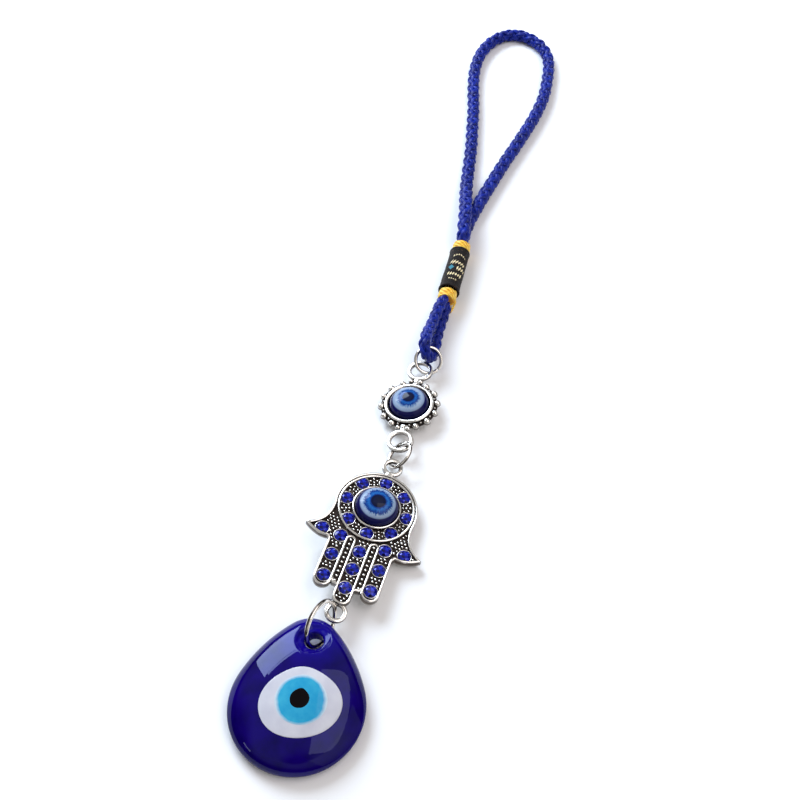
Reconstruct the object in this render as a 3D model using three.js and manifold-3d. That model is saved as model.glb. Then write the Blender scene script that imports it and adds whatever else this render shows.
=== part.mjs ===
// Hanging glass eye charm: a doubled braided cord bound by a sleeve, three jump rings,
// a round connector charm, an open-hand charm set with stones, and a glass eye drop.
// Millimetres, +Z up. The charm lies on its back along Y, with the glass drop at -Y.
// The origin is the centre of the metal and glass pieces, on the surface they lie on.

import * as THREE from 'three';
import { mergeVertices } from 'three/addons/utils/BufferGeometryUtils.js';
import Module from 'manifold-3d';

const wasm = await Module();
wasm.setup();

// ---------------------------------------------------------------- driving dimensions

const CENTRE = [0.425, 3.075, 0]; // moves the metal and glass pieces' centre to the origin
const GAP = 0.3; // between pieces that touch
const FIT = 0.15; // between pieces set or fused into each other

const CORD = { radius: 1.7, foldedRadius: 1.35, sides: 8, loopSteps: 48, foldSteps: 24 };
const BINDING = { x: 4, z: 3.3, coreRadius: 1.75, bore: 2.05 };
const SLEEVE = { start: 72.3, end: 87.3, radius: 2.6, flare: 0.15, lip: 0.8 };
const WRAP = { length: 2.7, radius: 2.35 };

const WIRE = { small: 0.45, large: 0.5, cut: 0.12 };
const TOP_RING = { radius: 3.2, at: [4.05, 48.3, 3.5], normal: [0.28, -0.573, 0.771], cut: -0.5 };
const MIDDLE_RING = { radius: 3.3, at: [3.67, 19.42, 2.72], normal: [-0.669, -0.036, 0.742], cut: 0.6 };
const BOTTOM_RING = { radius: 4.85, at: [-1.59, -27.06, 5.25], normal: [-0.932, 0.275, -0.236], cut: 2.2 };

const CONNECTOR = {
  at: [2.6, 34.4, 0.36],
  yaw: 0.5,
  roll: -4.5,
  cup: 5.85,
  seat: 5.0,
  back: 4.4,
  floor: 0.8,
  rim: 3.0,
  bead: 0.85,
  beadCircle: 6.65,
  beadPlaces: 14,
  mid: 2.0,
  web: 0.35,
};
const CONNECTOR_EYELET = { offset: 10.9, side: 0.3, hole: 2.15, radius: 3.1, thickness: 0.9 };
const CONNECTOR_CAB = { radius: 4.75, foot: 1.1, girdle: 2.7, top: 5.3 };

const HAND = {
  at: [2.3, 3.5, 4.0],
  yaw: -3.8,
  pitch: -2,
  roll: 9,
  head: 9.3,
  thickness: 1.8,
  rim: 0.5,
  rimWidth: 0.55,
};
const FINGER = { half: 2.0, offset: 5.3, sideTip: -22.4, middleTip: -25.1, slotHalf: 0.62, slotTop: -9.9 };
const WING = { tip: [13.2, -9.1], crotch: [7.3, -10.6] };
const HAND_CAB = { ring: 5.5, seat: 5.0, radius: 4.85, foot: -0.9, girdle: 0.35, top: 2.7 };
const HAND_TOP_EYELET = { y: 12.3, hole: 1.6, radius: 2.35, thickness: 0.9, mid: -1.3 };
const HAND_LOW_EYELET = { y: -26.7, hole: 1.5, radius: 2.35, thickness: 0.9, mid: -1.1 };

const STONE = { radius: 1.25, table: 0.7, seat: 1.4, floor: -1.1, foot: -0.95, girdle: -0.4, top: 0.05, sides: 10 };
const EYE_STONES = { circle: 6.97, count: 8 };
const SIDE_STONES = { wing: [9.4, -9.2], palm: [5.05, -9.55], finger: [5.35, -14.6], fingertip: [5.25, -19.9] };
const MIDDLE_STONES = { knuckle: -11.9, middle: -16.4, tip: -21.1 };

const GLASS = {
  at: [-1.9, -43.7, 0.75],
  yaw: 4.8,
  pitch: 3.2,
  radius: 13.7,
  tipRadius: 6.4,
  tipOffset: 12.2,
  flank: 32,
  thickness: 6.5,
  edge: 1.2,
  domeRadius: 25.5,
  domeStretch: 1.25,
  domeCentre: 2,
};
const GLASS_HOLE = { x: 1.0, y: 13.0, radius: 2.0, dimple: 3.9, dimpleSphere: 5.2, dimpleFloor: 3.4 };
const EYE = { at: [1.1, -0.8], yaw: 9, white: [8.15, 7.1], iris: 4.75, pupil: 1.9 };
const EYE_DEPTH = { white: 2.3, iris: 1.5, pupil: 0.9 };

const COLOURS = {
  cord: [0x2634a0, 0.75, 0],
  sleeve: [0x23202d, 0.45, 0],
  thread: [0xf2b62c, 0.6, 0],
  silver: [0xb9b7b2, 0.3, 1],
  wire: [0xcfcdc8, 0.2, 1],
  cabochon: [0x1d2f86, 0.15, 0],
  stone: [0x1420c8, 0.1, 0],
  glass: [0x190082, 0.05, 0],
  white: [0xebebf0, 0.1, 0],
  iris: [0x41b9eb, 0.1, 0],
  pupil: [0x050000, 0.1, 0],
};

// The cord's route, each point [x, y, z]: out of the binding on the upper strand, round the
// hanging loop, and back into the binding on the lower strand.
const LOOP_ROUTE = [
  [3.9, 91.1, 5.45], [3.6, 94, 5.4], [3.05, 98, 5.25], [2.3, 103, 4.85], [1.4, 108, 4.0],
  [0.4, 114, 2.8], [-0.6, 122, 1.95], [-1.9, 133, 1.75], [-3.3, 142, 1.75], [-4.9, 152, 1.75],
  [-6.9, 162, 1.75], [-8.3, 172, 1.75], [-8.0, 181, 1.75], [-5.8, 188, 1.75], [-2.4, 192.2, 1.75],
  [1.6, 193.6, 1.75], [5.8, 192.5, 1.75], [9.9, 189.3, 1.75], [12.8, 184.5, 1.75],
  [14.3, 178.5, 1.75], [14.9, 171.5, 1.75], [15.1, 162.5, 1.75], [13.8, 151.5, 1.75],
  [11.3, 139.5, 1.75], [8.75, 128.5, 1.75], [6.9, 119.5, 1.75], [5.5, 112.5, 1.75], [4.55, 107, 1.75],
  [3.75, 102, 1.75], [3.4, 96.5, 1.75], [3.5, 91.1, 1.75],
];

// The folded end: down the upper strand, round the top ring's wire, and back up underneath.
const FOLD_ROUTE = [
  [3.4, 69.0, 4.75], [3.05, 66, 5.0], [2.6, 62, 5.2], [2.3, 58, 5.6], [2.25, 54.8, 6.6],
  [2.45, 52.0, 7.5], [2.6, 50.1, 7.5], [2.95, 48.9, 6.9], [3.4, 48.3, 5.95], [3.85, 48.35, 4.95],
  [4.25, 48.95, 4.0], [4.6, 50.0, 3.3], [4.65, 51.5, 2.85], [4.5, 54, 2.45], [4.4, 58, 2.2],
  [4.4, 62, 1.95], [4.45, 66, 1.7], [4.5, 69.0, 1.65],
];

// ---------------------------------------------------------------- geometry helpers

function solidOf(geometry) {
  const bare = geometry.index ? geometry.toNonIndexed() : geometry.clone();
  bare.deleteAttribute('normal');
  bare.deleteAttribute('uv');
  const merged = mergeVertices(bare, 1e-4);
  return new wasm.Manifold(new wasm.Mesh({
    numProp: 3,
    vertProperties: new Float32Array(merged.attributes.position.array),
    triVerts: new Uint32Array(merged.index.array),
  }));
}

function geometryOf(solid) {
  const mesh = solid.getMesh();
  const geometry = new THREE.BufferGeometry();
  geometry.setAttribute('position', new THREE.BufferAttribute(new Float32Array(mesh.vertProperties), 3));
  geometry.setIndex(new THREE.BufferAttribute(new Uint32Array(mesh.triVerts), 1));
  return geometry;
}

function union(solids) {
  return solids.reduce((whole, next) => whole.add(next));
}

// A turned shape about Z from [radius, height] pairs that start and end on the axis,
// or that close on themselves.
function turned(pairs, segments) {
  return new THREE.LatheGeometry(pairs.map(([r, z]) => new THREE.Vector2(r, z)), segments).rotateX(Math.PI / 2);
}

function turnedRing(inner, outer, low, high, segments) {
  return turned([[inner, low], [outer, low], [outer, high], [inner, high], [inner, low]], segments);
}

function post(radius, low, high, segments) {
  return turned([[0, low], [radius, low], [radius, high], [0, high]], segments);
}

function slab(shape, low, high, curveSegments = 6) {
  const options = { depth: high - low, bevelEnabled: false, curveSegments };
  return new THREE.ExtrudeGeometry(shape, options).translate(0, 0, low);
}

function roundSection(radius, sides) {
  const corners = [];
  for (let i = 0; i < sides; i += 1) {
    const angle = ((i + 0.5) / sides) * 2 * Math.PI;
    corners.push(new THREE.Vector2(radius * Math.cos(angle), radius * Math.sin(angle)));
  }
  return new THREE.Shape(corners);
}

function tubeAlong(curve, radius, sides, steps) {
  return new THREE.ExtrudeGeometry(roundSection(radius, sides), { steps, extrudePath: curve });
}

class ArcPath extends THREE.Curve {
  constructor(radius, start, sweep) {
    super();
    this.radius = radius;
    this.start = start;
    this.sweep = sweep;
  }

  getPoint(t, target = new THREE.Vector3()) {
    const angle = this.start + t * this.sweep;
    return target.set(this.radius * Math.cos(angle), this.radius * Math.sin(angle), 0);
  }
}

function node(name, geometry, colour) {
  const [hex, roughness, metalness] = COLOURS[colour];
  const material = new THREE.MeshStandardMaterial({ color: hex, roughness, metalness });
  const mesh = new THREE.Mesh(geometry, material);
  mesh.name = name;
  return mesh;
}

function placed(group, at, { yaw = 0, pitch = 0, roll = 0 } = {}) {
  group.rotation.order = 'ZXY';
  group.rotation.set(THREE.MathUtils.degToRad(pitch), THREE.MathUtils.degToRad(roll), THREE.MathUtils.degToRad(yaw));
  group.position.set(...at);
  return group;
}

// ---------------------------------------------------------------- cord and its binding

function cordRun(route, radius, steps) {
  const curve = new THREE.CatmullRomCurve3(route.map((p) => new THREE.Vector3(...p)));
  return tubeAlong(curve, radius, CORD.sides, steps);
}

// A turned piece on the binding's axis, its pairs [radius, y].
function onBinding(name, pairs, colour) {
  const geometry = new THREE.LatheGeometry(pairs.map(([r, y]) => new THREE.Vector2(r, y)), 20);
  const mesh = node(name, geometry, colour);
  mesh.position.set(BINDING.x, 0, BINDING.z);
  return mesh;
}

function cordSet() {
  const group = new THREE.Group();
  const { start, end, radius, flare, lip } = SLEEVE;
  const lowWrap = start - GAP - WRAP.length;
  const highWrap = end + GAP;
  group.add(node('cord_loop', cordRun(LOOP_ROUTE, CORD.radius, CORD.loopSteps), 'cord'));
  group.add(node('cord_fold', cordRun(FOLD_ROUTE, CORD.foldedRadius, CORD.foldSteps), 'cord'));
  const core = [[0, lowWrap], [BINDING.coreRadius, lowWrap],
    [BINDING.coreRadius, highWrap + WRAP.length], [0, highWrap + WRAP.length]];
  group.add(onBinding('cord_core', core, 'cord'));
  const bore = BINDING.bore;
  group.add(onBinding('sleeve', [[bore, start], [radius + flare, start], [radius, start + lip],
    [radius, end - lip], [radius + flare, end], [bore, end], [bore, start]], 'sleeve'));
  for (const [name, y] of [['wrap_lower', lowWrap], ['wrap_upper', highWrap]]) {
    const crown = WRAP.radius - 0.1;
    group.add(onBinding(name, [[bore, y], [crown, y], [WRAP.radius, y + WRAP.length / 2],
      [crown, y + WRAP.length], [bore, y + WRAP.length], [bore, y]], 'thread'));
  }
  return group;
}

// ---------------------------------------------------------------- jump rings

function jumpRing(name, ring, wire) {
  const slit = (2 * WIRE.cut) / ring.radius;
  const arc = new ArcPath(ring.radius, ring.cut + slit / 2, 2 * Math.PI - slit);
  const mesh = node(name, tubeAlong(arc, wire, 8, 30), 'wire');
  const normal = new THREE.Vector3(...ring.normal).normalize();
  mesh.quaternion.setFromUnitVectors(new THREE.Vector3(0, 0, 1), normal);
  mesh.position.set(...ring.at);
  return mesh;
}

// ---------------------------------------------------------------- round connector charm

function connectorFrame() {
  const { cup, seat, back, floor, rim, bead, beadCircle, beadPlaces, mid, web } = CONNECTOR;
  const parts = [solidOf(turned([[0, 0], [back, 0], [cup, mid - web], [cup, rim], [seat, rim],
    [seat, floor], [0, floor]], 32))];
  parts.push(solidOf(turnedRing(seat + GAP, beadCircle, mid - web, mid + web, 32)));
  for (let i = 0; i < beadPlaces; i += 1) {
    if (i % (beadPlaces / 2) === 0) {
      continue; // the eyelets take the top and bottom places
    }
    const angle = Math.PI / 2 + (i / beadPlaces) * 2 * Math.PI;
    const ball = new THREE.SphereGeometry(bead, 10, 8);
    ball.translate(beadCircle * Math.cos(angle), beadCircle * Math.sin(angle), mid);
    parts.push(solidOf(ball));
  }
  const { offset, side, hole, radius, thickness } = CONNECTOR_EYELET;
  const low = mid - thickness / 2;
  const high = mid + thickness / 2;
  for (const sign of [1, -1]) {
    parts.push(solidOf(turnedRing(hole, radius, low, high, 24).translate(side, sign * offset, 0)));
    const neck = new THREE.BoxGeometry(2.4, offset - radius - seat, thickness);
    neck.translate(side / 2, (sign * (offset - radius + seat + 2 * GAP)) / 2, mid);
    parts.push(solidOf(neck));
  }
  return geometryOf(union(parts));
}

// A domed stone or cabochon: flat foot, upright girdle, round top.
function domed({ radius, foot, girdle, top }, segments, rings = 5) {
  const pairs = [[0, foot], [radius, foot]];
  for (let i = 0; i <= rings; i += 1) {
    const angle = (i / rings) * (Math.PI / 2);
    pairs.push([i === rings ? 0 : radius * Math.cos(angle), girdle + (top - girdle) * Math.sin(angle)]);
  }
  return turned(pairs, segments);
}

function connector() {
  const group = new THREE.Group();
  group.add(node('connector_frame', connectorFrame(), 'silver'));
  group.add(node('connector_eye', domed(CONNECTOR_CAB, 32), 'cabochon'));
  return placed(group, CONNECTOR.at, CONNECTOR);
}

// ---------------------------------------------------------------- open-hand charm

// One half's outline runs from the head down the wing, the side finger and the middle finger.
// inset moves it inwards for the face inside the rim.
function handOutline(inset) {
  const head = HAND.head - inset;
  const half = FINGER.half - inset;
  const [wingX, wingY] = WING.tip;
  const [crotchX, crotchY] = WING.crotch;
  const shoulder = -0.2;
  const shape = new THREE.Shape();
  const sideTip = FINGER.sideTip + FINGER.half;
  const middleTip = FINGER.middleTip + FINGER.half;
  const inner = FINGER.offset - half;
  const web = sideTip - 0.6;
  const tipIn = inset * 1.6;
  shape.absarc(0, 0, head, shoulder, Math.PI - shoulder, false);
  const headX = head * Math.cos(shoulder);
  const headY = head * Math.sin(shoulder);
  shape.bezierCurveTo(-headX + 0.1, headY - 3.2, -wingX + 3.6 + inset, wingY + 1.9, -wingX + 2 * tipIn, wingY + inset * 0.6);
  shape.bezierCurveTo(-wingX + 1.8 + inset, wingY - 1.3 + inset, -crotchX - 1.6, crotchY - 0.7 + inset, -crotchX + inset, crotchY + inset);
  shape.lineTo(-FINGER.offset - half, sideTip);
  shape.absarc(-FINGER.offset, sideTip, half, Math.PI, 2 * Math.PI, false);
  shape.lineTo(-inner, web);
  shape.lineTo(-half, web);
  shape.lineTo(-half, middleTip);
  shape.absarc(0, middleTip, half, Math.PI, 2 * Math.PI, false);
  shape.lineTo(half, web);
  shape.lineTo(inner, web);
  shape.lineTo(inner, sideTip);
  shape.absarc(FINGER.offset, sideTip, half, Math.PI, 2 * Math.PI, false);
  shape.lineTo(crotchX - inset, crotchY + inset);
  shape.bezierCurveTo(crotchX + 1.6, crotchY - 0.7 + inset, wingX - 1.8 - inset, wingY - 1.3 + inset, wingX - 2 * tipIn, wingY + inset * 0.6);
  shape.bezierCurveTo(wingX - 3.6 - inset, wingY + 1.9, headX - 0.1, headY - 3.2, headX, headY);
  return shape;
}

function stonePlaces() {
  const places = [];
  for (let i = 0; i < EYE_STONES.count; i += 1) {
    const angle = Math.PI / 2 + (i / EYE_STONES.count) * 2 * Math.PI;
    const { circle } = EYE_STONES;
    places.push([`stone_ring_${i + 1}`, circle * Math.cos(angle), circle * Math.sin(angle)]);
  }
  for (const [place, [x, y]] of Object.entries(SIDE_STONES)) {
    places.push([`stone_left_${place}`, -x, y]);
    places.push([`stone_right_${place}`, x, y]);
  }
  for (const [place, y] of Object.entries(MIDDLE_STONES)) {
    places.push([`stone_middle_${place}`, 0, y]);
  }
  return places;
}

function handFrame() {
  const back = -HAND.thickness;
  const field = -HAND.rim;
  const { ring, seat, foot } = HAND_CAB;
  let hand = solidOf(slab(handOutline(0), back, 0, 10));
  hand = hand.subtract(solidOf(slab(handOutline(HAND.rimWidth), field, 1, 10)));
  hand = hand.add(solidOf(turnedRing(seat, ring, field - 0.2, 0.3, 32)));
  hand = hand.subtract(solidOf(post(seat, foot - FIT, 1, 32)));
  for (const sign of [1, -1]) {
    const slot = new THREE.Shape();
    const x = (sign * FINGER.offset) / 2;
    const web = FINGER.sideTip + FINGER.half - 0.6;
    slot.moveTo(x - FINGER.slotHalf, web - 1);
    slot.lineTo(x + FINGER.slotHalf, web - 1);
    slot.lineTo(x + FINGER.slotHalf, FINGER.slotTop);
    slot.absarc(x, FINGER.slotTop, FINGER.slotHalf, 0, Math.PI, false);
    hand = hand.subtract(solidOf(slab(slot, field - 0.3, 1, 4)));
  }
  for (const [, x, y] of stonePlaces()) {
    hand = hand.subtract(solidOf(post(STONE.seat, STONE.floor, 1, STONE.sides).translate(x, y, 0)));
  }
  for (const { y, hole, radius, thickness, mid } of [HAND_TOP_EYELET, HAND_LOW_EYELET]) {
    const low = mid - thickness / 2;
    const high = mid + thickness / 2;
    const neck = new THREE.BoxGeometry(2, 2.2, thickness);
    neck.translate(0, y - Math.sign(y) * (radius + 0.4), mid);
    hand = hand.add(solidOf(neck));
    hand = hand.add(solidOf(post(radius, low, high, 24).translate(0, y, 0)));
    hand = hand.subtract(solidOf(post(hole, back - 1, high + 0.01, 24).translate(0, y, 0)));
  }
  return geometryOf(hand);
}

function stoneShape() {
  const { radius, table, foot, girdle, top, sides } = STONE;
  return turned([[0, foot], [radius * 0.8, foot], [radius, girdle], [table, top], [0, top]], sides);
}

function hand() {
  const group = new THREE.Group();
  group.add(node('hand_frame', handFrame(), 'silver'));
  group.add(node('hand_eye', domed(HAND_CAB, 32), 'cabochon'));
  for (const [name, x, y] of stonePlaces()) {
    const stone = node(name, stoneShape(), 'stone');
    stone.position.set(x, y, 0);
    group.add(stone);
  }
  return placed(group, HAND.at, HAND);
}

// ---------------------------------------------------------------- glass eye drop

// A large and a small circle joined by two flank arcs that touch them both.
function dropOutline() {
  const { radius, tipRadius, tipOffset, flank } = GLASS;
  const a = flank - radius;
  const b = flank - tipRadius;
  const y = (a * a - b * b + tipOffset * tipOffset) / (2 * tipOffset);
  const x = Math.sqrt(a * a - y * y);
  const low = Math.atan2(-y, x);
  const high = Math.atan2(tipOffset - y, x);
  const shape = new THREE.Shape();
  shape.absarc(0, 0, radius, Math.PI - low, 2 * Math.PI + low, false);
  shape.absarc(-x, y, flank, low, high, false);
  shape.absarc(0, tipOffset, tipRadius, high, Math.PI - high, false);
  shape.absarc(x, y, flank, Math.PI - high, Math.PI - low, false);
  return shape;
}

function dome(segments) {
  const { domeRadius, domeStretch, domeCentre, thickness } = GLASS;
  const ball = new THREE.SphereGeometry(domeRadius, segments, segments);
  ball.rotateX(Math.PI / 2);
  ball.scale(1, domeStretch, 1);
  return solidOf(ball.translate(0, domeCentre, thickness - domeRadius));
}

// An upright elliptical plug for one layer of the fused eye.
function eyePlug(rx, ry, low, grow) {
  const plug = post(1, low, GLASS.thickness + 1, 32).scale(rx + grow, ry + grow, 1);
  plug.rotateZ(THREE.MathUtils.degToRad(EYE.yaw));
  return solidOf(plug.translate(EYE.at[0], EYE.at[1], 0));
}

function glassDrop() {
  const group = new THREE.Group();
  const { thickness, edge } = GLASS;
  const bevel = { bevelThickness: edge, bevelSize: edge, bevelOffset: -edge, bevelSegments: 2 };
  const drop = new THREE.ExtrudeGeometry(dropOutline(), { depth: thickness, curveSegments: 10, ...bevel });
  const cap = dome(64);
  const layers = {
    white: [...EYE.white, thickness - EYE_DEPTH.white],
    iris: [EYE.iris, EYE.iris, thickness - EYE_DEPTH.iris],
    pupil: [EYE.pupil, EYE.pupil, thickness - EYE_DEPTH.pupil],
  };
  let body = solidOf(drop.translate(0, 0, edge)).intersect(cap);
  const { x, y, radius, dimpleSphere, dimpleFloor } = GLASS_HOLE;
  const dimple = new THREE.SphereGeometry(dimpleSphere, 24, 16).translate(x, y, dimpleFloor + dimpleSphere);
  body = body.subtract(solidOf(dimple)).subtract(solidOf(post(radius, -1, thickness + 1, 20).translate(x, y, 0)));
  body = body.subtract(eyePlug(layers.white[0], layers.white[1], layers.white[2] - FIT, FIT));
  group.add(node('glass_body', geometryOf(body), 'glass'));
  const names = ['white', 'iris', 'pupil'];
  names.forEach((name, i) => {
    let layer = eyePlug(...layers[name], 0).intersect(cap);
    const inner = layers[names[i + 1]];
    if (inner) {
      layer = layer.subtract(eyePlug(inner[0], inner[1], inner[2] - FIT, FIT));
    }
    group.add(node(`glass_${name}`, geometryOf(layer), name));
  });
  return placed(group, GLASS.at, GLASS);
}

// ---------------------------------------------------------------- the whole charm

const charm = new THREE.Group();
charm.add(cordSet());
charm.add(jumpRing('jump_ring_top', TOP_RING, WIRE.small));
charm.add(connector());
charm.add(jumpRing('jump_ring_middle', MIDDLE_RING, WIRE.small));
charm.add(hand());
charm.add(jumpRing('jump_ring_bottom', BOTTOM_RING, WIRE.large));
charm.add(glassDrop());
charm.position.set(...CENTRE);

export default charm;
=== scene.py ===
"""Looks of the hanging glass eye charm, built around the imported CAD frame.
Shapes are written in millimetres and scaled to metres as they become meshes.
"""
import math
import random
from math import cos, pi, radians, sin

import bpy
import numpy as np
from mathutils import Matrix, Vector
from mathutils.geometry import delaunay_2d_cdt


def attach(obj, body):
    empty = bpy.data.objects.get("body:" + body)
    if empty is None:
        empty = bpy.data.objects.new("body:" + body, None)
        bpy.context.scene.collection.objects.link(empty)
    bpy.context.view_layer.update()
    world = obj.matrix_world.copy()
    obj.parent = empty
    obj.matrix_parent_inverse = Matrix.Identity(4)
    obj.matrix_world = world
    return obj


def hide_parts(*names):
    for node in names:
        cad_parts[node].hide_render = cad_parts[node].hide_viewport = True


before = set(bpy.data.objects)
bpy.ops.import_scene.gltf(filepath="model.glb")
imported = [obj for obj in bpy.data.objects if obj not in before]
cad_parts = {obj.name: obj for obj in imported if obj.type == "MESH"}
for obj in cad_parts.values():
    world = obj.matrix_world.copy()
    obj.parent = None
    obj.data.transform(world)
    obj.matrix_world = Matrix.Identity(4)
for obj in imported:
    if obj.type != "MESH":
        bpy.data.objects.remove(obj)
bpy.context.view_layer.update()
random.seed(7)

# ---------------------------------------------------------------- places and sizes, in mm

MM = 0.001
CENTRE = Vector((0.425, 3.075, 0.0))  # the CAD moves its own numbers by this much
TAU = 2 * pi

SHIFT = np.array(CENTRE)
FLAT = Matrix.Identity(4)

LOOP_SCALE, FOLD_SCALE = 1.08, 0.87  # the fold is squeezed by its ring
STRANDS, TURN_LENGTH = 4, 14.6  # strands wound each way round the cord, and the length of one turn
STEP = 0.42  # between the cord's sections
BINDING = (4.0, 3.3)  # x and z of the sleeve's axis
SLEEVE_SPAN = (72.3, 87.3)
WRAP_LOW = (69.3, 72.25)
WRAP_HIGH = (87.35, 90.3)

CONNECTOR_POSE = dict(at=(2.6, 34.4, 0.36), yaw=0.5, roll=-4.5)
HAND_POSE = dict(at=(2.3, 3.5, 4.0), yaw=-3.8, pitch=-2, roll=9)
GLASS_POSE = dict(at=(-1.9, -43.7, 0.75), yaw=4.8, pitch=3.2)
RINGS = {
    "jump_ring_top": dict(at=(4.05, 48.3, 3.5), normal=(0.28, -0.573, 0.771), radius=3.2, wire=0.45, cut=-0.5),
    "jump_ring_middle": dict(at=(3.67, 19.42, 2.72), normal=(-0.669, -0.036, 0.742), radius=3.3, wire=0.45, cut=0.6),
    "jump_ring_bottom": dict(at=(-1.59, -27.06, 5.25), normal=(-0.932, 0.275, -0.236), radius=4.85, wire=0.5, cut=2.2),
}
RING_BODY = {"jump_ring_top": "ring_top", "jump_ring_middle": "ring_middle", "jump_ring_bottom": "ring_bottom"}

LOOP_ROUTE = [
    (3.95, 88.4, 4.2), (3.95, 90.2, 4.35), (3.9, 91.8, 4.95), (3.6, 94, 5.35), (3.05, 98, 5.25),
    (2.3, 103, 4.9), (1.4, 108, 4.0), (0.4, 114, 2.8), (-0.6, 122, 1.95), (-1.9, 133, 1.75),
    (-3.3, 142, 1.75), (-4.9, 152, 1.75), (-6.9, 162, 1.75), (-8.3, 172, 1.75), (-8.0, 181, 1.75),
    (-5.8, 188, 1.75), (-2.4, 192.2, 1.75), (1.6, 193.6, 1.75), (5.8, 192.5, 1.75), (9.9, 189.3, 1.75),
    (12.8, 184.5, 1.75), (14.3, 178.5, 1.75), (14.9, 171.5, 1.75), (15.1, 162.5, 1.75),
    (13.8, 151.5, 1.75), (11.3, 139.5, 1.75), (8.75, 128.5, 1.75), (6.9, 119.5, 1.75), (5.5, 112.5, 1.75),
    (4.55, 107, 1.75), (3.75, 102, 1.75), (3.4, 96.5, 1.75), (3.5, 92.0, 1.85), (3.75, 90.2, 2.2),
    (3.9, 88.4, 2.4),
]
FOLD_ROUTE = [
    (3.9, 71.6, 4.2), (3.8, 69.5, 4.3), (3.45, 67.8, 4.65), (3.1, 66, 4.8), (2.75, 62, 4.9),
    (2.5, 58, 5.3), (2.35, 54.8, 6.4), (2.45, 52.0, 7.5), (2.6, 50.1, 7.5), (2.95, 48.9, 6.9),
    (3.4, 48.3, 5.95), (3.85, 48.35, 4.95), (4.25, 48.95, 4.0), (4.6, 50.0, 3.3), (4.65, 51.5, 2.85),
    (4.5, 54, 2.45), (4.2, 58, 2.2), (4.15, 62, 1.95), (4.25, 66, 1.75), (4.3, 67.8, 1.9),
    (4.15, 69.5, 2.3), (4.1, 71.6, 2.4),
]


def turn(degrees, axis):
    return Matrix.Rotation(radians(degrees), 4, axis)


def pose(at, yaw=0, pitch=0, roll=0):
    place = Matrix.Translation((Vector(at) + CENTRE) * MM)
    return place @ turn(yaw, "Z") @ turn(pitch, "X") @ turn(roll, "Y")


# ---------------------------------------------------------------- mesh building

class Shape:
    """Collects vertices, faces, material numbers and UVs in millimetres."""

    def __init__(self):
        self.verts, self.faces, self.mats, self.uvs = [], [], [], []

    def add(self, verts, faces, mat=0, uvs=None):
        first = len(self.verts)
        self.verts.extend(tuple(float(c) for c in v) for v in verts)
        for i, face in enumerate(faces):
            self.faces.append([first + k for k in face])
            self.mats.append(mat)
            self.uvs.append(uvs[i] if uvs is not None else [(0.0, 0.0)] * len(face))

    def grid(self, rows, mat=0, wrap=True, closed=False, uv=None):
        """Quads between rows of equal length; wrap joins each row's ends, closed joins the rows' ends."""
        count, size = len(rows), len(rows[0])
        faces, uvs = [], []
        for i in range(count if closed else count - 1):
            j = (i + 1) % count
            for k in range(size if wrap else size - 1):
                m = (k + 1) % size
                faces.append((i * size + k, i * size + m, j * size + m, j * size + k))
                if uv:
                    a, b = uv(i), uv(i + 1)
                    u, v = k / size, (k + 1) / size
                    uvs.append([(a, u), (a, v), (b, v), (b, u)])
        self.add([p for row in rows for p in row], faces, mat, uvs if uv else None)

    def fan(self, ring, tip, mat=0, flip=False):
        size = len(ring)
        faces = [(k, (k + 1) % size, size) for k in range(size)]
        self.add(list(ring) + [tip], [f[::-1] if flip else f for f in faces], mat)

    def make(self, name, materials, matrix, body, nodes=(), flat=False):
        mesh = bpy.data.meshes.new(name)
        mesh.from_pydata([tuple(c * MM for c in v) for v in self.verts], [], self.faces)
        for material in materials:
            mesh.materials.append(material)
        mesh.polygons.foreach_set("material_index", self.mats)
        mesh.polygons.foreach_set("use_smooth", [not flat] * len(self.faces))
        layer = mesh.uv_layers.new(name="UVMap")
        layer.data.foreach_set("uv", [c for face in self.uvs for uv in face for c in uv])
        mesh.update()
        return place_mesh(name, mesh, matrix, body, nodes)


def linked(name, data):
    made = bpy.data.objects.new(name, data)
    bpy.context.scene.collection.objects.link(made)
    return made


def place_mesh(name, mesh, matrix, body, nodes=()):
    piece = linked(name, mesh)
    piece.matrix_world = matrix
    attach(piece, body)
    if nodes:
        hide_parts(*nodes)
    return piece


def circle(radius, count, z=0.0, centre=(0.0, 0.0), start=0.0):
    x, y = centre
    return [(x + radius * cos(start + TAU * k / count), y + radius * sin(start + TAU * k / count), z)
            for k in range(count)]


def lathe(shape, profile, count=64, centre=(0.0, 0.0), mat=0, closed=False):
    """Turns (radius, z) pairs, listed so that the outside is on the left going up."""
    shape.grid([circle(max(r, 1e-4), count, z, centre) for r, z in profile], mat, closed=closed)


def ball(shape, centre, radius, mat=0, squash=1.0, rows=7, count=12, full=False):
    x, y, z = centre
    low = -90 if full else -20
    rings = []
    for i in range(rows + 1):
        angle = radians(low + (90 - low) * i / rows)
        rings.append(circle(max(radius * cos(angle), 1e-4), count, z + radius * squash * sin(angle), (x, y)))
    shape.grid(rings, mat)


def centripetal(points, per=24):
    """A centripetal Catmull-Rom curve through the points, as the CAD's routes use."""
    p = [np.array(q, float) for q in points]
    p = [2 * p[0] - p[1]] + p + [2 * p[-1] - p[-2]]
    out = []
    for a, b, c, d in zip(p, p[1:], p[2:], p[3:]):
        t = [0.0]
        for u, v in ((a, b), (b, c), (c, d)):
            t.append(t[-1] + math.sqrt(np.linalg.norm(v - u)))
        for s in np.linspace(t[1], t[2], per, endpoint=False):
            ab = a + (b - a) * (s - t[0]) / (t[1] - t[0])
            bc = b + (c - b) * (s - t[1]) / (t[2] - t[1])
            cd = c + (d - c) * (s - t[2]) / (t[3] - t[2])
            abc = ab + (bc - ab) * (s - t[0]) / (t[2] - t[0])
            bcd = bc + (cd - bc) * (s - t[1]) / (t[3] - t[1])
            out.append(abc + (bcd - abc) * (s - t[1]) / (t[2] - t[1]))
    out.append(p[-2])
    return np.array(out)


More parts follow.
